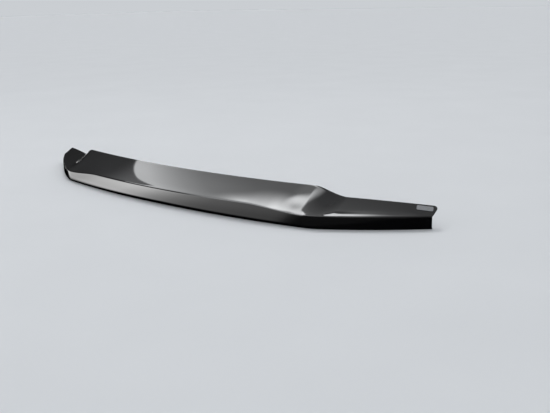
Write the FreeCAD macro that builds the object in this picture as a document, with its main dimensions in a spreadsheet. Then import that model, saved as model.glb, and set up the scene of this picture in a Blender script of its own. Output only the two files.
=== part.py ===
"""Hood bug deflector: one moulded acrylic shield, bonded to the nose of a hood by strips of foam tape.

Frame, in millimetres: X runs across the vehicle, -Y is forward and +Z is up. The origin is on the centre
plane, halfway from front to back, at the level of the lower edge, on which the deflector stands.
"""
import FreeCAD, Part
import math
import os
import re
import Sketcher
from FreeCAD import Placement, Rotation, Vector

doc = FreeCAD.newDocument("hood_bug_deflector")

# Driving dimensions

SIZES = {
    # Plan of the shield, seen from above, for the half on the +X side
    "front_corner": 474.0,      # centre plane to the corner where the lip turns back into the wing
    "wing_length": 276.0,       # that corner to the cut end, measured along X
    "rear_corner_lead": 5.0,    # how much nearer the centre plane the rear edge has its corner
    "corner_run": 40.0,         # length over which a corner turns
    "lip_corner_angle": 25.4,   # direction of the lip just past its corner, in degrees from X
    "rear_corner_angle": 28.4,  # the same for the rear edge
    "bow": 42.0,                # how far the lip has dropped back at its corner
    "lip_end": 221.8,           # and at the cut end
    "depth": 89.0,              # lip to rear edge on the raised middle
    "end_depth": 35.6,          # and at the cut end
    "end_radius": 9.0,          # rounded rear corner of each end
    # Heights above the lower edge: crease between upper face and lip, start of the roll, rear edge
    "crease_mid": 49.5,
    "crease_root": 36.5,
    "crease_end": 35.5,
    "crease_fall": 184.0,       # length over which the crease drops towards the wing
    "crease_fall_past": 10.0,   # how far past the corner it stops dropping
    "roll_mid": 12.5,
    "roll_end": 6.0,
    "rear_mid": 94.0,
    "rear_root": 66.7,
    "rear_end": 52.6,
    "flank_lead": 15.0,         # start of the flank, which steps the rear edge down, before the corner
    "flank_run": 85.0,          # its length
    # Wall section
    "wall": 2.5,
    "crease_radius": 4.0,
    "roll_radius": 6.0,
    "roll_angle": 45.0,         # how far the lip's lower edge is rolled back, in degrees
    "dish_mid": 4.0,            # hollow of the upper face below a straight line
    "dish_end": 1.0,
    "foot_allowance": 6.0,      # length moulded below the lower edge and trimmed off
    # Foam tape
    "tape": 1.1,
    "tape_width": 12.0,
    "tape_inset": 4.0,          # from the rear edge
    "tape_rise": 4.0,           # from the roll to the lip's tape
    "lip_tape_width": 9.0,
    "tape_gap": 16.0,           # between the two strips of the raised middle
    "tape_corner_gap": 15.0,    # from a corner to the end of a strip
    "tape_end_gap": 12.0,       # from the cut end to the end of a strip
    # Plate
    "plate_length": 42.0,
    "plate_width": 16.0,
    "plate_radius": 4.0,
    "plate_inset": 6.0,         # from the rear edge
    "plate_end_gap": 6.0,       # from the cut end, measured along X
    "plate_seat": 0.7,          # depth of its flat seat in the upper face
    "plate_clearance": 0.2,     # around it, in the seat
    "plate_proud": 0.9,         # height above the upper face
}

sheet = doc.addObject("Spreadsheet::Sheet", "Sizes")
for row, (alias, size) in enumerate(SIZES.items(), start=1):
    sheet.set(f"A{row}", alias)
    sheet.set(f"B{row}", str(size))
    sheet.setAlias(f"B{row}", alias)
doc.recompute()


def formula(text):
    """Turn a formula written in the names above into an expression on the sheet."""
    return re.sub(r"[a-z_]+", lambda word: "Sizes." + word.group() if word.group() in SIZES else word.group(), text)


def value(text):
    return float(sheet.evalExpression(formula(text)))


# The shield's lines, as formulas of the distance x from the centre plane

END = "(front_corner + wing_length)"
REAR_CORNER = "(front_corner - rear_corner_lead)"
FLANK_START = "(front_corner - flank_lead)"
FLANK_END = "(front_corner - flank_lead + flank_run)"


def share(distance, run):
    """How much of a run is behind a point: 0 before its start, 1 past its end."""
    return f"min(1; max(0; ({distance}) / ({run})))"


def ease(part):
    return f"(({part})^2 * (3 - 2 * ({part})))"


def bow_slope(corner):
    return f"(2 * bow * {corner} / front_corner^2)"


def turn(corner, angle):
    """How much steeper an edge runs back once it has turned its corner."""
    return f"(tan({angle}) - {bow_slope(corner)})"


def sweep(corner, angle, set_back):
    """How much further than a straight wing an edge has dropped back at the cut end."""
    wing = f"({END} - {corner})"
    straight = (f"bow * ({corner} / front_corner)^2 + {bow_slope(corner)} * {wing}"
                f" + {turn(corner, angle)} * ({wing} - corner_run / 2)")
    return f"({set_back} - ({straight}))"


def plan(x, corner, angle, set_back):
    """Set-back of an edge: bowed to its corner, turned over the corner's run, then swept to the cut end."""
    past = f"max(0; {x} - {corner})"
    bowed = f"bow * (min({x}; {corner}) / front_corner)^2"
    carried = f"{bow_slope(corner)} * {past}"
    turned = (f"{turn(corner, angle)}"
              f" * (min({past}; corner_run)^2 / (2 * corner_run) + max(0; {past} - corner_run))")
    swept = f"{sweep(corner, angle, set_back)} * ({past} / ({END} - {corner}))^2"
    return f"({bowed} + {carried} + {turned} + {swept})"


LIP_PLAN = ("front_corner", "lip_corner_angle", "lip_end")
REAR_PLAN = (REAR_CORNER, "rear_corner_angle", "(lip_end + end_depth - depth)")


def lip_y(x):
    return plan(x, *LIP_PLAN)


def rear_y(x):
    return f"(depth + {plan(x, *REAR_PLAN)})"


def lip_slope(x):
    past = f"max(0; {x} - front_corner)"
    return (f"(2 * bow * min({x}; front_corner) / front_corner^2"
            f" + {turn('front_corner', 'lip_corner_angle')} * {share(past, 'corner_run')}"
            f" + 2 * {sweep(*LIP_PLAN)} * {past} / wing_length^2)")


def stretch(x):
    """Length of a wall's section at x over its true thickness, because the wall crosses x at a slant."""
    return f"sqrt(1 + {lip_slope(x)}^2)"


def crease_z(x):
    fall = ease(share(f"{x} - front_corner - crease_fall_past + crease_fall", "crease_fall"))
    wing = share(f"{x} - front_corner", "wing_length")
    return f"(crease_mid + (crease_root - crease_mid) * {fall} + (crease_end - crease_root) * {wing})"


def roll_z(x):
    return f"(roll_mid + (roll_end - roll_mid) * {x} / {END})"


def rear_z(x):
    fall = ease(share(f"{x} - {FLANK_START}", "flank_run"))
    wing = share(f"{x} - {FLANK_END}", f"{END} - {FLANK_END}")
    return f"(rear_mid + (rear_root - rear_mid) * {fall} + (rear_end - rear_root) * {wing})"


def dish(x):
    return f"(dish_mid + (dish_end - dish_mid) * {share(f'{x} - {FLANK_START}', f'{END} - {FLANK_START}')})"


def rise(x):
    return f"({rear_z(x)} - {crease_z(x)})"


def run(x):
    return f"({rear_y(x)} - {lip_y(x)})"


def chord(x):
    return f"sqrt({run(x)}^2 + {rise(x)}^2)"


def face_radius(x):
    """Radius of the arc that hollows the upper face by its dish."""
    return f"({chord(x)}^2 / (8 * {dish(x)}))"


def face_angle(x):
    """Direction of the rear edge, seen from the centre of the upper face's arc, which touches the crease's arc."""
    crease, radius = f"(crease_radius * {stretch(x)})", face_radius(x)
    across, up = f"({run(x)} - {crease})", f"({rise(x)} + {crease})"
    apart = f"sqrt({across}^2 + {up}^2)"
    return (f"(atan({up} / {across})"
            f" - acos(({apart}^2 - {crease}^2 - 2 * {radius} * {crease}) / (2 * {radius} * {apart})))")


def point_on_face(x, inset, inward):
    """A point of the section at x: how far along the face from the rear edge, and how far below it."""
    radius, angle = face_radius(x), face_angle(x)
    turned = f"({angle} - ({inset}) / {radius} * 1 rad)"
    reach = f"({radius} + {inward})"
    return (f"({rear_y(x)} - {radius} * cos({angle}) + {reach} * cos({turned}))",
            f"({rear_z(x)} - {radius} * sin({angle}) + {reach} * sin({turned}))")


# The widths at which the section is drawn: close together where the shape turns
STATIONS = (
    [f"front_corner * {part}" for part in (0, 0.25, 0.5, 0.7, 0.84, 0.93)]
    + [f"({FLANK_START} + flank_run * {part})" for part in (0, 0.2, 0.4, 0.6, 0.8, 1)]
    + [f"({FLANK_END} + ({END} - {FLANK_END}) * {part})" for part in (0.2, 0.4, 0.6, 0.8, 1)]
)

# The upper face at the cut end: its tilt in the section, and how its rear edge runs, per unit of width
END_TILT = f"({face_angle(END)} + 90 deg)"
REAR_SLOPE = f"(tan(rear_corner_angle) + 2 * {sweep(*REAR_PLAN)} / ({END} - {REAR_CORNER}))"
REAR_DROP = f"((rear_end - rear_root) / ({END} - {FLANK_END}))"
REAR_RUN = f"({REAR_SLOPE} * cos({END_TILT}) + {REAR_DROP} * sin({END_TILT}))"
REAR_LENGTH = f"sqrt(1 + {REAR_RUN}^2)"

# Half of the shield's whole depth: from the lip at the centre plane to the rounded rear corner of an end
CORNER_LOSS = f"(end_radius * ({REAR_RUN} + {REAR_LENGTH} - 1) * cos({END_TILT}))"
MIDDLE = f"(({rear_y(END)} + wall * {rise(END)} / {chord(END)} - {CORNER_LOSS}) / 2)"

UPWARD = Vector(0, 0, 1)
ACROSS = Rotation(Vector(0, 1, 0), UPWARD, Vector(1, 0, 0), "ZXY")


def section_plane(sketch, x):
    """Stand a sketch across the vehicle's width at x: its x axis is Y and its y axis is Z."""
    sketch.Placement = Placement(Vector(value(x), -value(MIDDLE), 0), ACROSS)
    sketch.setExpression("Placement.Base.x", formula(x))
    sketch.setExpression("Placement.Base.y", formula(f"-{MIDDLE}"))


def bind(sketch, constraint, name, text):
    """Add a dimension to a sketch, give it a name and bind it to the sheet."""
    dimension = constraint(value(text))
    dimension.Name = name
    sketch.addConstraint(dimension)
    sketch.setExpression(f"Constraints.{name}", formula(text))


def arc(hub, start, finish):
    """The arc about hub that runs from start to finish, anticlockwise in its sketch."""
    first, last = start - hub, finish - hub
    circle = Part.Circle(hub, UPWARD, first.Length)
    return Part.ArcOfCircle(circle, math.atan2(first.y, first.x), math.atan2(last.y, last.x))


def arc_hub(start, finish, radius):
    """The centre of the arc of a given radius that hangs from start to finish."""
    half = (finish - start) / 2
    upright = Vector(-half.y, half.x, 0).normalize()
    return start + half + upright * math.sqrt(radius**2 - half.Length**2)


def skin_line(x, number):
    """The outer line of the section at x: upper face, crease, lip, roll and the stretch that is trimmed."""
    sketch = doc.addObject("Sketcher::SketchObject", f"SkinLine{number:02d}")
    section_plane(sketch, x)
    crease, roll = value(f"crease_radius * {stretch(x)}"), value(f"roll_radius * {stretch(x)}")
    radius = value(face_radius(x))
    front, low = value(lip_y(x)), value(roll_z(x))
    rear = Vector(value(rear_y(x)), value(rear_z(x)), 0)
    centre = Vector(front + crease, value(crease_z(x)) - crease, 0)
    # The upper face's arc ends on the rear edge and touches the crease's arc from the other side
    to_rear = math.radians(value(face_angle(x)))
    hub = rear - Vector(math.cos(to_rear), math.sin(to_rear), 0) * radius
    start = centre + (hub - centre) * crease / (hub - centre).Length
    # The roll turns back through its angle, and the trimmed stretch runs on straight from it
    angle = math.radians(value("roll_angle"))
    top, bottom = Vector(front, centre.y, 0), Vector(front, low, 0)
    curl_hub = Vector(front + roll, low, 0)
    end = curl_hub - Vector(math.cos(angle), math.sin(angle), 0) * roll
    length = (end.y + value("foot_allowance")) / math.cos(angle)
    tip = end + Vector(math.sin(angle), -math.cos(angle), 0) * length
    face = sketch.addGeometry(arc(hub, start, rear), False)
    edge = sketch.addGeometry(arc(centre, start, top), False)
    lip = sketch.addGeometry(Part.LineSegment(top, bottom), False)
    curl = sketch.addGeometry(arc(curl_hub, bottom, end), False)
    foot = sketch.addGeometry(Part.LineSegment(end, tip), False)
    for constraint in (
        Sketcher.Constraint("Tangent", face, 1, edge, 1),
        Sketcher.Constraint("Tangent", edge, 2, lip, 1),
        Sketcher.Constraint("Tangent", lip, 2, curl, 1),
        Sketcher.Constraint("Tangent", curl, 2, foot, 1),
        Sketcher.Constraint("Vertical", lip),
    ):
        sketch.addConstraint(constraint)
    origin = (-1, 1)
    bind(sketch, lambda v: Sketcher.Constraint("DistanceX", *origin, lip, 1, v), "LipSetBack", lip_y(x))
    bind(sketch, lambda v: Sketcher.Constraint("DistanceY", *origin, edge, 3, v), "CreaseCentre",
         f"{crease_z(x)} - crease_radius * {stretch(x)}")
    bind(sketch, lambda v: Sketcher.Constraint("Radius", edge, v), "CreaseRadius", f"crease_radius * {stretch(x)}")
    bind(sketch, lambda v: Sketcher.Constraint("DistanceX", *origin, face, 2, v), "RearSetBack", rear_y(x))
    bind(sketch, lambda v: Sketcher.Constraint("DistanceY", *origin, face, 2, v), "RearHeight", rear_z(x))
    bind(sketch, lambda v: Sketcher.Constraint("Radius", face, v), "FaceRadius", face_radius(x))
    bind(sketch, lambda v: Sketcher.Constraint("DistanceY", *origin, lip, 2, v), "RollHeight", roll_z(x))
    bind(sketch, lambda v: Sketcher.Constraint("Radius", curl, v), "RollRadius", f"roll_radius * {stretch(x)}")
    bind(sketch, lambda v: Sketcher.Constraint("DistanceY", foot, 2, *origin, v), "FootAllowance", "foot_allowance")
    bind(sketch, lambda v: Sketcher.Constraint("Angle", foot, math.radians(v)), "RollAngle", "roll_angle - 90")
    sketch.setExpression("Constraints.RollAngle", formula("(roll_angle - 90) * 1 deg"))
    return sketch


def wall_section(x, number):
    """The wall's whole section at x: its outer line thickened inwards."""
    wall = doc.addObject("Part::Offset2D", f"WallSection{number:02d}")
    wall.Source = skin_line(x, number)
    wall.Mode = "Skin"
    wall.Join = "Intersection"
    wall.Fill = True
    wall.Value = value(f"wall * {stretch(x)}")
    wall.setExpression("Value", formula(f"wall * {stretch(x)}"))
    return wall


def loft_through(sections, name):
    """A solid through sections, with curves of the second degree, which don't overshoot between them."""
    loft = doc.addObject("Part::Loft", name)
    loft.Sections = sections
    loft.Solid = True
    loft.MaxDegree = 2
    return loft


def mirrored(source, name):
    """The copy of a piece on the other side of the centre plane."""
    mirror = doc.addObject("Part::Mirroring", name)
    mirror.Source = source
    mirror.Normal = Vector(1, 0, 0)
    return mirror


# The shield: half of it is lofted, trimmed flat at the foot, rounded at its rear corner and mirrored

moulding = loft_through([wall_section(x, number) for number, x in enumerate(STATIONS)], "HalfMoulding")

above_foot = doc.addObject("Part::Box", "AboveFoot")
above_foot.setExpression("Length", formula(END))
above_foot.setExpression("Width", formula(f"2 * {rear_y(END)}"))
above_foot.setExpression("Height", formula("2 * rear_mid"))
above_foot.setExpression("Placement.Base.y", formula(f"-{rear_y(END)}"))

trimmed = doc.addObject("Part::Common", "TrimmedHalf")
trimmed.Base = moulding
trimmed.Tool = above_foot

# The corner's cutter stands square to the upper face at the cut end, and its arc touches both edges there
corner = doc.addObject("Sketcher::SketchObject", "CornerOutline")
corner.Placement.Rotation = Rotation(Vector(1, 0, 0), value(END_TILT))
corner.setExpression("Placement.Rotation.Angle", formula(END_TILT))
corner.setExpression("Placement.Base.x", formula(END))
corner.setExpression("Placement.Base.y", formula(f"{rear_y(END)} - {MIDDLE}"))
corner.setExpression("Placement.Base.z", formula(rear_z(END)))
corner_hub = Vector(-value("end_radius"), -value(f"end_radius * ({REAR_RUN} + {REAR_LENGTH})"), 0)
to_rear = Vector(-value(f"end_radius * {REAR_RUN} / {REAR_LENGTH}"), value(f"end_radius / {REAR_LENGTH}"), 0)
on_rear = corner_hub + to_rear
on_end = Vector(0, corner_hub.y, 0)
reach = value("2 * end_radius")
corner.addGeometry(arc(corner_hub, on_end, on_rear), False)
outline = [on_rear, Vector(on_rear.x, reach, 0), Vector(reach, reach, 0), Vector(reach, on_end.y, 0), on_end]
for point, following in zip(outline, outline[1:]):
    corner.addGeometry(Part.LineSegment(point, following), False)
for constraint in (
    Sketcher.Constraint("Coincident", 0, 2, 1, 1),
    Sketcher.Constraint("Coincident", 1, 2, 2, 1),
    Sketcher.Constraint("Coincident", 2, 2, 3, 1),
    Sketcher.Constraint("Coincident", 3, 2, 4, 1),
    Sketcher.Constraint("Coincident", 4, 2, 0, 1),
    Sketcher.Constraint("Vertical", 1),
    Sketcher.Constraint("Horizontal", 2),
    Sketcher.Constraint("Vertical", 3),
    Sketcher.Constraint("Horizontal", 4),
    Sketcher.Constraint("PointOnObject", 0, 1, -2),
):
    corner.addConstraint(constraint)
bind(corner, lambda v: Sketcher.Constraint("Radius", 0, v), "Radius", "end_radius")
bind(corner, lambda v: Sketcher.Constraint("DistanceY", 0, 1, -1, 1, v), "EndTangent",
     f"end_radius * ({REAR_RUN} + {REAR_LENGTH})")
bind(corner, lambda v: Sketcher.Constraint("DistanceX", 0, 2, -1, 1, v), "RearTangentAlong",
     f"end_radius * (1 + {REAR_RUN} / {REAR_LENGTH})")
bind(corner, lambda v: Sketcher.Constraint("DistanceX", -1, 1, 3, 1, v), "CutterReach", "2 * end_radius")
bind(corner, lambda v: Sketcher.Constraint("DistanceY", -1, 1, 3, 1, v), "CutterDepth", "2 * end_radius")

cutter = doc.addObject("Part::Extrusion", "CornerCutter")
cutter.Base = corner
cutter.DirMode = "Normal"
cutter.Solid = True
cutter.Symmetric = True
cutter.setExpression("LengthFwd", formula("4 * end_radius"))

half = doc.addObject("Part::Cut", "HalfShield")
half.Base = trimmed
half.Tool = cutter

both_halves = doc.addObject("Part::Fuse", "BothHalves")
both_halves.Base = half
both_halves.Tool = mirrored(half, "OtherHalfShield")
both_halves.Refine = True


# The plate near the +X end: a block with rounded corners in a flat seat, which is cut into the upper face

PLATE_OUTER = f"({END} - plate_end_gap)"
PLATE_INNER = f"({END} - plate_end_gap - plate_length)"
PLATE_MIDDLE = f"({END} - plate_end_gap - plate_length / 2)"
PLATE_LINE = "plate_inset + plate_width / 2"


def face_point(x, inset):
    y, z = point_on_face(x, inset, "0")
    return Vector(value(x), value(y) - value(MIDDLE), value(z))


def plate_block(name, clearance):
    """A block of the plate's outline, with a clearance around it, that stands on the floor of the seat."""
    length, width = f"plate_length + 2 * {clearance}", f"plate_width + 2 * {clearance}"
    block = doc.addObject("Part::Box", f"{name}Block")
    block.setExpression("Length", formula(length))
    block.setExpression("Width", formula(width))
    block.setExpression("Height", formula("plate_seat + plate_proud"))
    doc.recompute()
    upright = [number for number, edge in enumerate(block.Shape.Edges, start=1)
               if edge.BoundBox.ZLength > edge.Length / 2]
    radius = value(f"plate_radius + {clearance}")
    rounded = doc.addObject("Part::Fillet", name)
    rounded.Base = block
    rounded.Edges = [(number, radius, radius) for number in upright]
    along = face_point(PLATE_OUTER, PLATE_LINE) - face_point(PLATE_INNER, PLATE_LINE)
    rear_side = face_point(PLATE_OUTER, "plate_inset") + face_point(PLATE_INNER, "plate_inset")
    front_side = (face_point(PLATE_OUTER, "plate_inset + plate_width")
                  + face_point(PLATE_INNER, "plate_inset + plate_width"))
    across = rear_side - front_side
    turned = Rotation(along, across, along.cross(across), "XZY")
    corner = Vector(-value(length) / 2, -value(width) / 2, -value("plate_seat"))
    rounded.Placement = Placement(face_point(PLATE_MIDDLE, PLATE_LINE) + turned.multVec(corner), turned)
    return rounded


plate = plate_block("Plate", "0")
plate.Label = "end_plate"

shield = doc.addObject("Part::Cut", "Shield")
shield.Base = both_halves
shield.Tool = plate_block("PlateSeat", "plate_clearance")
shield.Label = "deflector_shell"


# Foam tape: each strip is drawn from the middle of the wall inwards, and the wall is then cut away from it

TAPE_SECTIONS = 5


def rear_tape_corners(x):
    near, far = "tape_inset", "tape_inset + tape_width"
    inside, out = f"wall * {stretch(x)} / 2", f"wall * {stretch(x)} + tape"
    return [point_on_face(x, near, inside), point_on_face(x, far, inside),
            point_on_face(x, far, out), point_on_face(x, near, out)]


def rear_tape_back(x):
    """Radius of the tape's free face, which follows the hollow of the wall."""
    return f"({face_radius(x)} + wall * {stretch(x)} + tape)"


def lip_tape_corners(x):
    inside = f"({lip_y(x)} + wall * {stretch(x)} / 2)"
    out = f"({lip_y(x)} + (wall + tape) * {stretch(x)})"
    low = f"({roll_z(x)} + tape_rise)"
    high = f"({roll_z(x)} + tape_rise + lip_tape_width)"
    return [(inside, high), (inside, low), (out, low), (out, high)]


def tape_section(x, corners, back, name):
    """A sketch of a strip's section at x, its corners bound to the sheet and its free face straight or hollow."""
    sketch = doc.addObject("Sketcher::SketchObject", name)
    section_plane(sketch, x)
    points = [Vector(value(y), value(z), 0) for y, z in corners]
    for side, (point, following) in enumerate(zip(points, points[1:] + points[:1])):
        if back and side == 2:
            sketch.addGeometry(arc(arc_hub(point, following, value(back)), point, following), False)
        else:
            sketch.addGeometry(Part.LineSegment(point, following), False)
    for side in range(4):
        sketch.addConstraint(Sketcher.Constraint("Coincident", side, 2, (side + 1) % 4, 1))
    for side, (y, z) in enumerate(corners):
        bind(sketch, lambda v: Sketcher.Constraint("DistanceX", -1, 1, side, 1, v), f"Corner{side}SetBack", y)
        bind(sketch, lambda v: Sketcher.Constraint("DistanceY", -1, 1, side, 1, v), f"Corner{side}Height", z)
    if back:
        bind(sketch, lambda v: Sketcher.Constraint("Radius", 2, v), "BackRadius", back)
    return sketch


def tape_strip(label, corners, back, start, end):
    """A strip of tape on the wall from start to end, and its twin on the other side."""
    sections = []
    for number in range(TAPE_SECTIONS):
        x = f"({start} + ({end} - {start}) * {number / (TAPE_SECTIONS - 1)})"
        sections.append(tape_section(x, corners(x), back and back(x), f"{label}_section{number}"))
    strip = doc.addObject("Part::Cut", f"{label}_left")
    strip.Base = loft_through(sections, f"{label}_blank")
    strip.Tool = half
    return [strip, mirrored(strip, f"{label}_right")]


REAR_TAPE = (rear_tape_corners, rear_tape_back)
LIP_TAPE = (lip_tape_corners, None)
TAPE_START = "(tape_gap / 2)"
TAPE_END = f"({END} - tape_end_gap)"

tapes = (
    tape_strip("rear_tape_middle", *REAR_TAPE, TAPE_START, f"({REAR_CORNER} - tape_corner_gap)")
    + tape_strip("rear_tape_wing", *REAR_TAPE, f"({FLANK_END} + tape_corner_gap)", TAPE_END)
    + tape_strip("lip_tape_middle", *LIP_TAPE, TAPE_START, "(front_corner - tape_corner_gap)")
    + tape_strip("lip_tape_wing", *LIP_TAPE, "(front_corner + corner_run)", TAPE_END)
)


# Check every object and piece, then write one STEP file per piece

doc.recompute()
pieces = [shield] + tapes + [plate]
for item in doc.Objects:
    if "Invalid" in item.State or "Error" in item.State:
        raise RuntimeError(f"{item.Name} could not be built")
for piece in pieces:
    if piece.Shape.isNull() or not piece.Shape.isValid() or len(piece.Shape.Solids) != 1:
        raise RuntimeError(f"{piece.Label} is not one sound solid")

os.makedirs("parts", exist_ok=True)
for piece in pieces:
    piece.Shape.exportStep(f"parts/{piece.Label}.step")
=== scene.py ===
import bpy
from math import acos, asin, atan2, cos, hypot, pi, radians, sin, sqrt, tan
from mathutils import Euler, Matrix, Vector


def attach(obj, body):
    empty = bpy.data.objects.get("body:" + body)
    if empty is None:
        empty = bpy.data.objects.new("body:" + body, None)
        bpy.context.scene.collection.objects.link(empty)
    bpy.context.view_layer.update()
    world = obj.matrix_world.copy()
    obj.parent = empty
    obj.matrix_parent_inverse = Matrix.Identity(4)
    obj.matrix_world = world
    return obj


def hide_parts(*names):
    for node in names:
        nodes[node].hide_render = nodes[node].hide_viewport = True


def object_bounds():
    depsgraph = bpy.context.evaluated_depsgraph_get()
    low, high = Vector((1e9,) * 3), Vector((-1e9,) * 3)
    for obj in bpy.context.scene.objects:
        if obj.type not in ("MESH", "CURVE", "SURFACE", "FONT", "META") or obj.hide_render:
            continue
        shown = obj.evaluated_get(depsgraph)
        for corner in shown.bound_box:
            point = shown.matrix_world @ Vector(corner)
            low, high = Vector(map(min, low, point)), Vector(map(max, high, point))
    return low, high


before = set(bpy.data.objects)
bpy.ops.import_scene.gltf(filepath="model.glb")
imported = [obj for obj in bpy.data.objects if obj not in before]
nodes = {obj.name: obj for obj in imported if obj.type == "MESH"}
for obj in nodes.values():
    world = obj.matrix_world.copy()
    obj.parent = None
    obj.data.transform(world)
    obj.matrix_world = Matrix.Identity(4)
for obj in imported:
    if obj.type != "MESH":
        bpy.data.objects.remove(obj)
solid_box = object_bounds()


# The shield is one moulding of dark smoke acrylic, with a raised middle, a flank on each side that steps
# down to a swept wing, a crisp crease, an upright lip and a rolled lower edge. The sheet is formed hot over
# a tool, its outline is cut afterwards, and the cut edge is polished.

MM = 0.001
WALL = 2.5 * MM
FRONT_CORNER = 474 * MM               # from the centre plane to the lip's corner
WING = 276 * MM                       # from that corner to the cut end
HALF_WIDTH = FRONT_CORNER + WING
REAR_CORNER = FRONT_CORNER - 5 * MM
CORNER_RUN = 40 * MM                  # an edge turns its corner over this length
LIP_TURN = tan(radians(25.4))
REAR_TURN = tan(radians(28.4))
BOW = 42 * MM                         # how far the lip has dropped back at its corner
LIP_END = 221.8 * MM                  # and at the cut end
DEPTH = 89 * MM
END_DEPTH = 35.6 * MM
END_RADIUS = 9 * MM
CREASE_MID = 49.5 * MM                # heights of the crease, the roll and the rear edge
CREASE_ROOT = 36.5 * MM
CREASE_END = 35.5 * MM
ROLL_MID = 12.5 * MM
ROLL_END = 6 * MM
REAR_MID = 94 * MM
REAR_ROOT = 66.7 * MM
REAR_END = 52.6 * MM
CREASE_FALL = 184 * MM                # the crease falls over this length, to a little past the corner
FALL_START = FRONT_CORNER + 10 * MM - CREASE_FALL
FLANK_START = FRONT_CORNER - 15 * MM
FLANK_END = FRONT_CORNER + 70 * MM
CREASE_RADIUS = 4 * MM
ROLL_RADIUS = 6 * MM
ROLL_ANGLE = radians(45)
DISH_MID = 4 * MM                     # how far the upper face is hollowed below a straight line
DISH_END = 1 * MM
FOOT_ALLOWANCE = 6 * MM               # the rolled edge runs on this far below the floor, to be trimmed


def share(distance, run):
    """How much of a run a distance covers, from 0 to 1."""
    return min(1, max(0, distance / run))


def ease(part):
    """A rise from 0 to 1 that starts and ends level."""
    return part * part * (3 - 2 * part)


def bow_slope(corner):
    """How steeply an edge drops back at its corner, before it turns."""
    return 2 * BOW * corner / FRONT_CORNER**2


def sweep(corner, turn, set_back):
    """How much further than a straight wing an edge has dropped back at the cut end."""
    wing = HALF_WIDTH - corner
    return set_back - (BOW * (corner / FRONT_CORNER) ** 2 + bow_slope(corner) * wing
                       + (turn - bow_slope(corner)) * (wing - CORNER_RUN / 2))


def plan(x, corner, turn, set_back):
    """Set-back of an edge: bowed to its corner, turned over the corner's run, then swept to the cut end."""
    past = max(0, x - corner)
    turned = min(past, CORNER_RUN) ** 2 / (2 * CORNER_RUN) + max(0, past - CORNER_RUN)
    return (BOW * (min(x, corner) / FRONT_CORNER) ** 2 + bow_slope(corner) * past
            + (turn - bow_slope(corner)) * turned
            + sweep(corner, turn, set_back) * (past / (HALF_WIDTH - corner)) ** 2)


def lip_y(x):
    return plan(x, FRONT_CORNER, LIP_TURN, LIP_END)


def rear_y(x):
    return DEPTH + plan(x, REAR_CORNER, REAR_TURN, LIP_END + END_DEPTH - DEPTH)


def stretch(x):
    """Length of a wall's section at x over its true thickness, because the wall crosses x at a slant."""
    past = max(0, x - FRONT_CORNER)
    slope = (2 * BOW * min(x, FRONT_CORNER) / FRONT_CORNER**2
             + (LIP_TURN - bow_slope(FRONT_CORNER)) * share(past, CORNER_RUN)
             + 2 * sweep(FRONT_CORNER, LIP_TURN, LIP_END) * past / WING**2)
    return sqrt(1 + slope**2)


def crease_z(x):
    return (CREASE_MID + (CREASE_ROOT - CREASE_MID) * ease(share(x - FALL_START, CREASE_FALL))
            + (CREASE_END - CREASE_ROOT) * share(x - FRONT_CORNER, WING))


def roll_z(x):
    return ROLL_MID + (ROLL_END - ROLL_MID) * x / HALF_WIDTH


def rear_z(x):
    return (REAR_MID + (REAR_ROOT - REAR_MID) * ease(share(x - FLANK_START, FLANK_END - FLANK_START))
            + (REAR_END - REAR_ROOT) * share(x - FLANK_END, HALF_WIDTH - FLANK_END))


def dish(x):
    return DISH_MID + (DISH_END - DISH_MID) * share(x - FLANK_START, HALF_WIDTH - FLANK_START)


def face_arc(x):
    """Radius of the upper face's arc, and the direction of the rear edge from the arc's centre."""
    crease = CREASE_RADIUS * stretch(x)
    run = rear_y(x) - lip_y(x)
    rise = rear_z(x) - crease_z(x)
    radius = (run**2 + rise**2) / (8 * dish(x))
    apart = hypot(run - crease, rise + crease)
    touching = acos((apart**2 - crease**2 - 2 * radius * crease) / (2 * radius * apart))
    return radius, atan2(rise + crease, run - crease) - touching


# At the cut end: the tilt of the upper face, how its rear edge runs, what its rounded corner takes off, and
# with that the middle of the whole depth, which goes to y = 0
end_tilt = face_arc(HALF_WIDTH)[1] + pi / 2
rear_sweep = sweep(REAR_CORNER, REAR_TURN, LIP_END + END_DEPTH - DEPTH)
rear_slope = REAR_TURN + 2 * rear_sweep / (HALF_WIDTH - REAR_CORNER)
rear_drop = (REAR_END - REAR_ROOT) / (HALF_WIDTH - FLANK_END)
rear_run = rear_slope * cos(end_tilt) + rear_drop * sin(end_tilt)
rear_length = sqrt(1 + rear_run**2)
corner_span = END_RADIUS * (1 + rear_run / rear_length)
corner_loss = END_RADIUS * (rear_run + rear_length - 1) * cos(end_tilt)
end_rise = REAR_END - CREASE_END
middle = (rear_y(HALF_WIDTH) + WALL * end_rise / hypot(END_DEPTH, end_rise) - corner_loss) / 2


def end_inset(x):
    """How far the rounded corner of the cut end holds the rear edge back."""
    past = x - HALF_WIDTH
    if past < -corner_span:
        return 0
    rounding = sqrt(max(0, END_RADIUS**2 - (past + END_RADIUS) ** 2))
    return rear_run * past + END_RADIUS * (rear_run + rear_length) - rounding


def arc(y, z, radius, first, last, steps):
    """Points on an arc about (y, z) from the first angle up to the last one, which is left out."""
    angles = [first + (last - first) * step / steps for step in range(steps)]
    return [(y + radius * cos(angle), z + radius * sin(angle)) for angle in angles]


# Steps along each stretch of a section: the upper face, the crease, the lip, the roll and the rolled edge
FACE_STEPS = 18
CREASE_STEPS = 10
LIP_STEPS = 8
ROLL_STEPS = 8
FOOT_STEPS = 3
ROWS = FACE_STEPS + CREASE_STEPS + LIP_STEPS + ROLL_STEPS + FOOT_STEPS + 1


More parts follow.
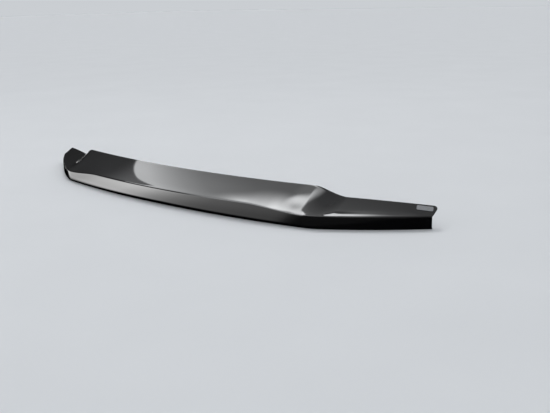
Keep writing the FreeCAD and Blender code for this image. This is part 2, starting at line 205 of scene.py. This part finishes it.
def section(x):
    """The outer line of the section at x as (y, z) points, from the rear edge to a little below the floor."""
    crease = CREASE_RADIUS * stretch(x)
    roll = ROLL_RADIUS * stretch(x)
    front = lip_y(x)
    low = roll_z(x)
    radius, to_rear = face_arc(x)
    hub_y = rear_y(x) - radius * cos(to_rear)
    hub_z = rear_z(x) - radius * sin(to_rear)
    centre_y = front + crease
    centre_z = crease_z(x) - crease
    touch = atan2(hub_z - centre_z, hub_y - centre_y)
    points = arc(hub_y, hub_z, radius, to_rear - end_inset(x) / radius, touch - pi, FACE_STEPS)
    points += arc(centre_y, centre_z, crease, touch, pi, CREASE_STEPS)
    for step in range(LIP_STEPS):
        points.append((front, centre_z + (low - centre_z) * step / LIP_STEPS))
    points += arc(front + roll, low, roll, pi, pi + ROLL_ANGLE, ROLL_STEPS)
    end_y = front + roll - roll * cos(ROLL_ANGLE)
    end_z = low - roll * sin(ROLL_ANGLE)
    length = (end_z + FOOT_ALLOWANCE) / cos(ROLL_ANGLE)
    for step in range(FOOT_STEPS + 1):
        part = length * step / FOOT_STEPS
        points.append((end_y + part * sin(ROLL_ANGLE), end_z - part * cos(ROLL_ANGLE)))
    return [(y - middle, z) for y, z in points]


# Columns of the half shield, as the ends of each stretch and how many it has. They are closer together where
# the shield turns, and the last ones go round the corner of the cut end.
CORNER_COLUMNS = 12
fine_start = FLANK_START - 19 * MM
fine_end = FLANK_END + 26 * MM
stretches = ((0, FALL_START, 30), (FALL_START, fine_start, 24), (fine_start, fine_end, 52),
             (fine_end, HALF_WIDTH - corner_span, 26))
half_columns = [start + (stop - start) * step / count
                for start, stop, count in stretches
                for step in range(count)]
corner_start = -asin(rear_run / rear_length)
for step in range(CORNER_COLUMNS + 1):
    angle = corner_start + (pi / 2 - corner_start) * step / CORNER_COLUMNS
    half_columns.append(HALF_WIDTH - END_RADIUS + END_RADIUS * sin(angle))
columns = [-x for x in reversed(half_columns[1:])] + half_columns

# A flat grid of columns and rows is laid over the tool, where each of its points goes to its own place
bpy.ops.object.select_all(action="DESELECT")
bpy.ops.mesh.primitive_grid_add(x_subdivisions=len(columns) - 1, y_subdivisions=ROWS - 1, size=1)
shield = bpy.context.object
shield.name = "shield"
in_order = sorted(shield.data.vertices, key=lambda v: (round(v.co.x, 5), -round(v.co.y, 5)))
for column, x in enumerate(columns):
    for row, (y, z) in enumerate(section(abs(x))):
        in_order[column * ROWS + row].co = (x, y, z)

# The skin is thickened inwards, trimmed flat just above the floor, and its cut edges are eased
TRIM_HEIGHT = 0.1 * MM
EDGE_EASE = 0.5 * MM
wall = shield.modifiers.new("wall", "SOLIDIFY")
wall.thickness = WALL
wall.offset = -1
wall.use_even_offset = True
bpy.ops.object.modifier_apply(modifier=wall.name)
bpy.ops.object.mode_set(mode="EDIT")
bpy.ops.mesh.select_all(action="SELECT")
bpy.ops.mesh.bisect(plane_co=(0, 0, TRIM_HEIGHT), plane_no=(0, 0, -1), clear_outer=True, use_fill=True)
bpy.ops.object.mode_set(mode="OBJECT")
eased = shield.modifiers.new("eased edge", "BEVEL")
eased.width = EDGE_EASE
eased.segments = 3
eased.limit_method = "ANGLE"
eased.angle_limit = radians(50)
bpy.ops.object.modifier_apply(modifier=eased.name)

# The plate's flat seat is cut with a copy of the plate, grown all round by the clearance
SEAT_CLEARANCE = 0.2 * MM
plate = nodes["end_plate"]
cutter = plate.copy()
cutter.data = plate.data.copy()
bpy.context.scene.collection.objects.link(cutter)
bpy.ops.object.select_all(action="DESELECT")
cutter.select_set(True)
bpy.context.view_layer.objects.active = cutter
bpy.ops.object.mode_set(mode="EDIT")
bpy.ops.mesh.select_all(action="SELECT")
bpy.ops.mesh.remove_doubles(threshold=0.01 * MM)
bpy.ops.transform.shrink_fatten(value=SEAT_CLEARANCE)
bpy.ops.object.mode_set(mode="OBJECT")
cutter.select_set(False)
shield.select_set(True)
bpy.context.view_layer.objects.active = shield
seat = shield.modifiers.new("seat", "BOOLEAN")
seat.operation = "DIFFERENCE"
seat.solver = "EXACT"
seat.object = cutter
bpy.ops.object.modifier_apply(modifier=seat.name)
bpy.data.objects.remove(cutter)
bpy.ops.object.shade_smooth_by_angle(angle=radians(28))


def new_material(name):
    """A material with its node tree, its shader, and the object's own coordinates for its patterns."""
    material = bpy.data.materials.new(name)
    material.use_nodes = True
    tree = material.node_tree
    place = tree.nodes.new("ShaderNodeTexCoord")
    return material, tree, tree.nodes["Principled BSDF"], place.outputs["Object"]


def noise(tree, place, scale, detail, roughness=0.5):
    node = tree.nodes.new("ShaderNodeTexNoise")
    node.inputs["Scale"].default_value = scale
    node.inputs["Detail"].default_value = detail
    node.inputs["Roughness"].default_value = roughness
    tree.links.new(place, node.inputs["Vector"])
    return node.outputs["Fac"]


def colour_ramp(tree, value, low, high, start=0, stop=1):
    """A colour that goes from low, where the value is start, to high, where it is stop."""
    node = tree.nodes.new("ShaderNodeValToRGB")
    for element, position, colour in zip(node.color_ramp.elements, (start, stop), (low, high)):
        element.position = position
        element.color = (*colour, 1)
    tree.links.new(value, node.inputs["Fac"])
    return node.outputs["Color"]


def number_ramp(tree, value, low, high, start=0, stop=1, kind="LINEAR"):
    """A number that goes from low, where the value is start, to high, where it is stop."""
    node = tree.nodes.new("ShaderNodeMapRange")
    node.interpolation_type = kind
    node.inputs["From Min"].default_value = start
    node.inputs["From Max"].default_value = stop
    node.inputs["To Min"].default_value = low
    node.inputs["To Max"].default_value = high
    tree.links.new(value, node.inputs["Value"])
    return node.outputs["Result"]


def bump(tree, height, strength, distance):
    node = tree.nodes.new("ShaderNodeBump")
    node.inputs["Strength"].default_value = strength
    node.inputs["Distance"].default_value = distance
    tree.links.new(height, node.inputs["Height"])
    return node.outputs["Normal"]


# Smoke acrylic: all but black, with a moulded gloss that ripples very slightly and is duller where dust lies
acrylic, tree, gloss, place = new_material("smoke_acrylic")
gloss.inputs["IOR"].default_value = 1.49
smoke = colour_ramp(tree, noise(tree, place, scale=6, detail=3),
                    (0.0022, 0.0022, 0.0026), (0.0038, 0.0037, 0.004), start=0.3, stop=0.7)
dust = noise(tree, place, scale=14, detail=8, roughness=0.7)
dulled = number_ramp(tree, dust, 0.025, 0.055, start=0.35, stop=0.75)
rippled = bump(tree, noise(tree, place, scale=45, detail=1), strength=0.3, distance=0.02 * MM)
tree.links.new(smoke, gloss.inputs["Base Color"])
tree.links.new(dulled, gloss.inputs["Roughness"])
tree.links.new(rippled, gloss.inputs["Normal"])
shield.data.materials.clear()
shield.data.materials.append(acrylic)
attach(shield, "root")
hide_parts("deflector_shell")


# The tape is eight strips of closed-cell acrylic foam, four behind the rear edge and four behind the lip.
# They bond the shield to the hood, and show only from behind and below.

foam, tree, matt, place = new_material("foam_tape")
matt.inputs["Roughness"].default_value = 0.95
cells = tree.nodes.new("ShaderNodeTexVoronoi")
cells.inputs["Scale"].default_value = 1400
tree.links.new(place, cells.inputs["Vector"])
cell_tone = colour_ramp(tree, cells.outputs["Distance"], (0.05, 0.05, 0.052), (0.1, 0.1, 0.103))
pitted = bump(tree, cells.outputs["Distance"], strength=0.5, distance=0.2 * MM)
tree.links.new(cell_tone, matt.inputs["Base Color"])
tree.links.new(pitted, matt.inputs["Normal"])
for name, strip in nodes.items():
    if "tape" in name:
        strip.data.materials[0] = foam


# The plate is a plain rounded rectangle of aluminium, brushed with fine strokes that run across the part. It
# sits in a shallow flat seat near the end of the left wing.

STROKES = (40, 2500, 2500)            # strokes per metre along x, y and z
PATTERN_TURN = radians(31)            # of the noise that the strokes are drawn from

brushed, tree, satin, place = new_material("plate")
satin.inputs["Metallic"].default_value = 1
along = tree.nodes.new("ShaderNodeMapping")
along.inputs["Scale"].default_value = STROKES
along.inputs["Rotation"].default_value = (0, 0, -PATTERN_TURN)
tree.links.new(place, along.inputs["Vector"])
strokes = noise(tree, along.outputs["Vector"], scale=1, detail=4)
stroke_tone = colour_ramp(tree, strokes, (0.17, 0.175, 0.185), (0.27, 0.275, 0.285), start=0.3, stop=0.7)
tree.links.new(stroke_tone, satin.inputs["Base Color"])
tree.links.new(number_ramp(tree, strokes, 0.24, 0.42), satin.inputs["Roughness"])
plate.data.materials[0] = brushed


# The studio floor is a sheet of pale paper. The gloss sees a glow painted in its place, with painted light
# and shade: brightest in front of the right half, fading towards the left wing, painted shade close to the
# lip in place of its contact shadow, and even far ahead.

# Painted shade: the floor's glow is darker close to the lip, in place of the lip's contact shadow
LIP_SHADE = (0.008, 0.035)            # metres ahead of the lip over which the floor grows brighter
FURTHER_SHADE = (0.04, 0.13)
FAR = (0.35, 1.2)                     # and over which it grows even
FAR_LEVEL = 0.5
# Brightness of the floor's painted glow near the part, as (x, level) stops
FLOOR_LEVELS = ((-1.2, 2.5), (-0.52, 3.6), (-0.42, 5.2), (-0.27, 6.7), (-0.18, 6.1), (-0.1, 4.2),
                (-0.02, 2.8), (0.06, 2.0), (0.12, 1.6), (0.22, 1.38), (0.36, 1.15), (0.385, 0.9),
                (0.41, 0.3), (0.44, 0.08), (1.1, 0.05))

bpy.ops.object.select_all(action="DESELECT")
bpy.ops.mesh.primitive_plane_add(size=80)
floor = bpy.context.object
floor.name = "floor"
paper, tree, matt, place = new_material("floor_paper")
matt.inputs["Roughness"].default_value = 0.9
fibres = noise(tree, place, scale=3, detail=2)
fibre_tone = colour_ramp(tree, fibres, (0.66, 0.675, 0.69), (0.70, 0.715, 0.73))
tree.links.new(fibre_tone, matt.inputs["Base Color"])


def math_node(tree, operation, first, second=None, third=None):
    """The result of one operation on node sockets or numbers."""
    node = tree.nodes.new("ShaderNodeMath")
    node.operation = operation
    for socket, given in zip(node.inputs, (first, second, third)):
        if isinstance(given, bpy.types.NodeSocket):
            tree.links.new(given, socket)
        elif given is not None:
            socket.default_value = given
    return node.outputs["Value"]


def product(tree, first, *others):
    for other in others:
        first = math_node(tree, "MULTIPLY", first, other)
    return first


def soft_step(tree, value, start, stop, low=0, high=1):
    """A smooth change from low, where the value is start, to high, where it is stop."""
    return number_ramp(tree, value, low, high, start, stop, kind="SMOOTHSTEP")


def soft_fall(tree, value, start, stop):
    return soft_step(tree, value, start, stop, low=1, high=0)


def soft_band(tree, value, rise, fall):
    """A smooth rise from 0 to 1 over one stretch, and back to 0 over another."""
    return product(tree, soft_step(tree, value, *rise), soft_fall(tree, value, *fall))


def levels(tree, value, stops):
    """A curve through (value, level) stops, straight between them. A level is never less than 0."""
    low = stops[0][0]
    high = stops[-1][0]
    top = max(level for _, level in stops)
    ramp = tree.nodes.new("ShaderNodeValToRGB")
    elements = ramp.color_ramp.elements
    while len(elements) < len(stops):
        elements.new(0.5)
    for element, (at, level) in zip(elements, stops):
        element.position = (at - low) / (high - low)
        element.color = (level / top,) * 3 + (1,)
    from_low = math_node(tree, "SUBTRACT", value, low)
    tree.links.new(math_node(tree, "DIVIDE", from_low, high - low), ramp.inputs["Fac"])
    return product(tree, ramp.outputs["Color"], top)


def mix_shaders(tree, factor, first, second):
    """The first shader where the factor is 0, and the second where it is 1."""
    node = tree.nodes.new("ShaderNodeMixShader")
    tree.links.new(factor, node.inputs["Fac"])
    tree.links.new(first, node.inputs[1])
    tree.links.new(second, node.inputs[2])
    return node.outputs["Shader"]


split = tree.nodes.new("ShaderNodeSeparateXYZ")
tree.links.new(place, split.inputs["Vector"])
floor_x = split.outputs["X"]
floor_y = split.outputs["Y"]
squared = math_node(tree, "POWER", math_node(tree, "ABSOLUTE", floor_x), 2)
lip_line = math_node(tree, "MULTIPLY_ADD", squared, BOW / FRONT_CORNER**2, solid_box[0][1])
ahead = math_node(tree, "SUBTRACT", lip_line, floor_y)
# Painted shade in the glow, darkest close to the lip and lifting further ahead
painted_lip_shade = product(tree, soft_step(tree, ahead, *LIP_SHADE),
               soft_step(tree, ahead, *FURTHER_SHADE, low=0.88, high=1.18))
close_up = product(tree, levels(tree, floor_x, FLOOR_LEVELS), painted_lip_shade, soft_fall(tree, ahead, *FAR))
far_off = product(tree, soft_step(tree, ahead, *FAR), FAR_LEVEL)
glow = tree.nodes.new("ShaderNodeEmission")
tree.links.new(math_node(tree, "ADD", close_up, far_off), glow.inputs["Strength"])
rays = tree.nodes.new("ShaderNodeLightPath")
either = mix_shaders(tree, rays.outputs["Is Glossy Ray"], matt.outputs["BSDF"], glow.outputs["Emission"])
tree.links.new(either, tree.nodes["Material Output"].inputs["Surface"])
floor.data.materials.append(paper)


# The room is pale to the camera and an even sky to the matt surfaces. To the gloss it is a dim vault,
# lighter overhead, with a bright bay ahead and to the right that runs down to the floor, and a faint band
# beside it. A large soft key lamp high behind the right half casts the shadows, but the gloss doesn't see it.

BAND_RISE = (-0.8, -0.755)            # the x of a direction whose length is 1
BAND_FALL = (-0.73, -0.68)
BAND_LEVEL = 0.5
BAY_RISE = (-0.69, -0.58)
BAY_FALL = (-0.3, -0.2)
BAY_BACK = (-0.25, 0.05)              # the y of such a direction

room = bpy.data.worlds.new("studio")
bpy.context.scene.world = room
room.use_nodes = True
tree = room.node_tree
even = tree.nodes["Background"]
even.inputs["Color"].default_value = (0.93, 0.96, 1, 1)
even.inputs["Strength"].default_value = 0.62
backdrop = tree.nodes.new("ShaderNodeBackground")
backdrop.inputs["Color"].default_value = (0.59, 0.615, 0.644, 1)
vault = tree.nodes.new("ShaderNodeBackground")
vault.inputs["Color"].default_value = (0.96, 0.98, 1, 1)
direction = tree.nodes.new("ShaderNodeTexCoord")
split = tree.nodes.new("ShaderNodeSeparateXYZ")
tree.links.new(direction.outputs["Generated"], split.inputs["Vector"])
to_side = split.outputs["X"]
to_back = split.outputs["Y"]
height = math_node(tree, "MAXIMUM", split.outputs["Z"], 0)
dim = number_ramp(tree, math_node(tree, "POWER", height, 2), 0.03, 0.78)
band = product(tree, soft_band(tree, to_side, BAND_RISE, BAND_FALL), BAND_LEVEL)
bay = product(tree, soft_band(tree, to_side, BAY_RISE, BAY_FALL), soft_fall(tree, to_back, *BAY_BACK),
              number_ramp(tree, math_node(tree, "POWER", height, 1.5), 1.3, 9.3))
brightness = math_node(tree, "ADD", math_node(tree, "ADD", dim, band), bay)
tree.links.new(brightness, vault.inputs["Strength"])
rays = tree.nodes.new("ShaderNodeLightPath")
for_others = mix_shaders(tree, rays.outputs["Is Glossy Ray"], even.outputs["Background"],
                         vault.outputs["Background"])
for_all = mix_shaders(tree, rays.outputs["Is Camera Ray"], for_others, backdrop.outputs["Background"])
tree.links.new(for_all, tree.nodes["World Output"].inputs["Surface"])

lamp = bpy.data.objects.new("key_lamp", bpy.data.lights.new("key_lamp", "SUN"))
lamp.data.energy = 1.1
lamp.data.angle = radians(28)
lamp.rotation_euler = (radians(-18), radians(-32), 0)
lamp.visible_glossy = False
bpy.context.scene.collection.objects.link(lamp)


# Four soft light panels hang about two metres up, one a little above the other, and show only in the
# gloss. Each is a clear sheet that glows where its cover is 1.

def panel(name, size, centre, height):
    """Makes a panel that only the gloss sees, and returns its node tree and a point's x and y for it."""
    bpy.ops.object.select_all(action="DESELECT")
    bpy.ops.mesh.primitive_plane_add(size=1, location=(*centre, height))
    card = bpy.context.object
    card.name = name
    card.scale = (*size, 1)
    bpy.ops.object.transform_apply(location=True, scale=True)
    card.visible_camera = False
    card.visible_diffuse = False
    card.visible_shadow = False
    card.visible_transmission = False
    card.visible_volume_scatter = False
    cloth, tree, shader, place = new_material(name)
    tree.nodes.remove(shader)
    split = tree.nodes.new("ShaderNodeSeparateXYZ")
    tree.links.new(place, split.inputs["Vector"])
    card.data.materials.append(cloth)
    return tree, split.outputs["X"], split.outputs["Y"]


def light_panel(tree, strength, cover):
    clear = tree.nodes.new("ShaderNodeBsdfTransparent")
    glow = tree.nodes.new("ShaderNodeEmission")
    glow.inputs["Color"].default_value = (0.97, 0.985, 1, 1)
    tree.links.new(strength, glow.inputs["Strength"])
    either = mix_shaders(tree, cover, clear.outputs["BSDF"], glow.outputs["Emission"])
    tree.links.new(either, tree.nodes["Material Output"].inputs["Surface"])


def rounded(tree, place, centre, half_size, radius, soft):
    """Cover of a rectangle with rounded corners and a soft edge."""
    over = []
    for along, middle_at, half in zip(place, centre, half_size):
        from_middle = math_node(tree, "ABSOLUTE", math_node(tree, "SUBTRACT", along, middle_at))
        over.append(math_node(tree, "SUBTRACT", from_middle, half - radius))
    squares = [math_node(tree, "POWER", math_node(tree, "MAXIMUM", side, 0), 2) for side in over]
    outside = math_node(tree, "SQRT", math_node(tree, "ADD", *squares))
    inside = math_node(tree, "MINIMUM", math_node(tree, "MAXIMUM", *over), 0)
    to_edge = math_node(tree, "SUBTRACT", radius, math_node(tree, "ADD", outside, inside))
    return soft_step(tree, to_edge, 0, soft)


# The wide panel lights the upper face of the middle. The sharp end of its reflection is its right edge.
tree, x, y = panel("wide_panel", size=(4, 3.4), centre=(-1.3, -0.1), height=2.0)
strength = levels(tree, x, ((-2.7, 5.0), (-2.4, 4.9), (-1.9, 3.1), (-1.6, 2.3), (-1.3, 2.0), (-1.0, 1.7),
                            (-0.5, 1.75), (-0.2, 1.2), (0.4, 0.8)))
strength = product(tree, strength, soft_step(tree, y, 0.2, 1.1, low=1.02, high=0.77))
cover = rounded(tree, (x, y), centre=(-1.11, 0.28), half_size=(1.55, 0.88), radius=0.32, soft=0.03)
light_panel(tree, strength, cover)

# The bright panel makes the bright band along the crease. Its front and back edges run slantwise.
tree, x, y = panel("bright_panel", size=(1.8, 2.6), centre=(-1.25, 0.85), height=1.98)
front = soft_step(tree, math_node(tree, "MULTIPLY_ADD", x, 0.8, y), -0.52, 0.24)
back = soft_fall(tree, math_node(tree, "MULTIPLY_ADD", x, 0.5, y), 0.45, 0.65)
sides = soft_band(tree, x, (-1.95, -1.5), (-0.47, -0.425))
strength = levels(tree, x, ((-2.0, 4.2), (-1.6, 7.0), (-1.4, 11.0), (-1.15, 8.8), (-0.85, 8.6),
                            (-0.68, 10.0), (-0.56, 14.0), (-0.3, 13.0)))
light_panel(tree, strength, product(tree, front, sides, back))

# The flank strip follows a curved line, and its reflection runs up the left flank. One metre is added to
# the line's y, because a level is never less than 0.
tree, x, y = panel("flank_strip", size=(1.9, 1.6), centre=(0.3, -0.32), height=1.96)
line = levels(tree, x, ((-0.6, 1.35), (-0.5, 1.22), (-0.44, 1.05), (-0.36, 0.9), (-0.26, 0.77), (0, 0.67),
                        (0.22, 0.63), (1.2, 0.58)))
off_line = math_node(tree, "ADD", math_node(tree, "SUBTRACT", y, line), 1)
peak = levels(tree, x, ((-0.6, 11), (-0.44, 10.5), (-0.26, 6.6), (0.2, 3.9), (0.8, 1.6), (1.2, 1)))
strength = math_node(tree, "MULTIPLY_ADD", peak, soft_step(tree, off_line, -0.2, -0.01), 2.3)
across = soft_band(tree, off_line, (-0.6, -0.4), (0.02, 0.3))
ends = soft_band(tree, x, (-0.52, -0.42), (0.8, 1.4))
light_panel(tree, strength, product(tree, across, ends))

# The wing strip makes the thin highlight above the left wing's crease. Its front edge steps forward on the
# right and slants forward on the left, and a faint glow lies before it.
tree, x, y = panel("wing_strip", size=(2.4, 2.4), centre=(0.45, 1.6), height=2.02)
slanted = math_node(tree, "MULTIPLY_ADD", math_node(tree, "MAXIMUM", x, 0), 0.6, y)
stepped = math_node(tree, "MULTIPLY_ADD", soft_fall(tree, x, -0.5, -0.42), 0.45, slanted)
strength = levels(tree, x, ((-0.75, 8.5), (-0.4, 7.0), (-0.3, 5.2), (-0.12, 2.2), (0.07, 1.3), (0.35, 1.1),
                            (0.6, 0.9), (1.65, 0.7)))
faint = product(tree, soft_step(tree, y, 1.02, 1.16), soft_step(tree, x, -0.34, -0.1), 0.35)
light_panel(tree, strength, math_node(tree, "MAXIMUM", soft_step(tree, stepped, 1.35, 1.45), faint))


# The camera stands where the photograph was taken from, ahead of the left wing and a little above it. It
# looks across the part and slightly down, and its lens gives the photograph's field of view.

CAMERA_PLACE = (1.5891, -1.5779, 0.5639)
TURN = radians(38.807)                # from straight back towards the right half
TILT = radians(15.155)                # down from level
ROLL = radians(-1.245)

camera = bpy.data.objects.new("camera", bpy.data.cameras.new("camera"))
camera.data.sensor_width = 36
camera.data.lens = 49.68
camera.data.clip_end = 200
aim = Euler((pi / 2 - TILT, 0, TURN)).to_matrix() @ Matrix.Rotation(ROLL, 3, "Z")
camera.matrix_world = Matrix.Translation(CAMERA_PLACE) @ aim.to_4x4()
bpy.context.scene.collection.objects.link(camera)
bpy.context.scene.camera = camera
bpy.context.scene.view_settings.view_transform = "Standard"
